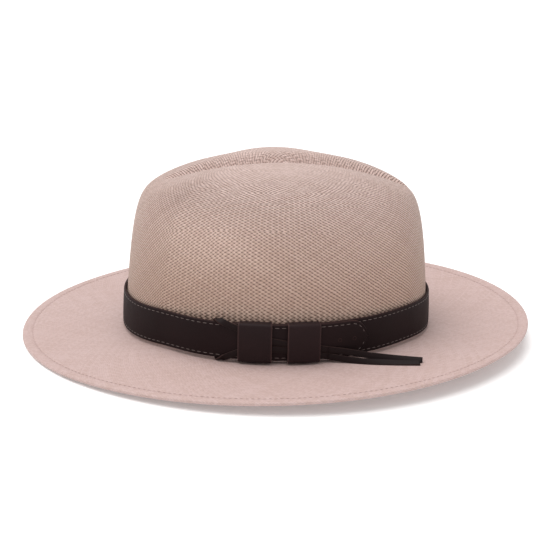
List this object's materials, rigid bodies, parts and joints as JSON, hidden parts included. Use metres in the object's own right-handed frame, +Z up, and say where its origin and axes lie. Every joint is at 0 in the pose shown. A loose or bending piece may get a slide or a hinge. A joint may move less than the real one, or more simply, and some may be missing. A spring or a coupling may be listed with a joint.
{
  "type": "panama hat",
  "caption": "Woven straw hat with a creased and pinched crown, a broad brim, and a stitched leather band with keepers and a tied lace.",
  "frame": {"origin": "on the surface that the hat lies on, below the middle of the brim", "axes": "+Z up through the crown, front of the hat towards -Y, wearer's left side with the keepers towards +X"},
  "size_m": [0.3024, 0.3472, 0.1209],
  "materials": {
    "straw": "fine woven toquilla straw, matt with a faint sheen",
    "straw_thread": "twisted cotton thread",
    "band_leather": "smooth dark brown leather, semi-matt",
    "keeper_leather": "smooth dark brown leather with burnished edges",
    "lace_leather": "flat cut leather lace",
    "pale_thread": "pale waxed saddle thread",
    "sweatband_leather": "thin tan roan leather, satin",
    "welt_fabric": "cotton cord and thread",
    "bow_ribbon": "narrow ribbed ribbon"
  },
  "bodies": {
    "hat": {"straw_body": "straw", "hem_thread": "straw_thread", "hat_strap": "band_leather", "strap_thread_upper": "pale_thread", "strap_thread_lower": "pale_thread", "band_tacks": "pale_thread", "lace_loop": "lace_leather", "lace_tail_upper": "lace_leather", "lace_tail_lower": "lace_leather", "sweatband": "sweatband_leather", "sweatband_welt": "welt_fabric", "sweatband_thread": "welt_fabric", "sweatband_bow": "bow_ribbon"},
    "keeper_front": {"keeper_front": "keeper_leather"},
    "keeper_rear": {"keeper_rear": "keeper_leather"}
  },
  "joints": [
    {"name": "keeper_front_slide", "type": "hinge", "parent": "hat", "child": "keeper_front", "pos_m": [-0.0318, 0, 0.02225], "axis": [0, 0, 1], "range_deg": [-0.7, 1.9]},
    {"name": "keeper_rear_slide", "type": "hinge", "parent": "hat", "child": "keeper_rear", "pos_m": [-0.0318, 0, 0.02225], "axis": [0, 0, 1], "range_deg": [-1.9, 1.9]}
  ]
}
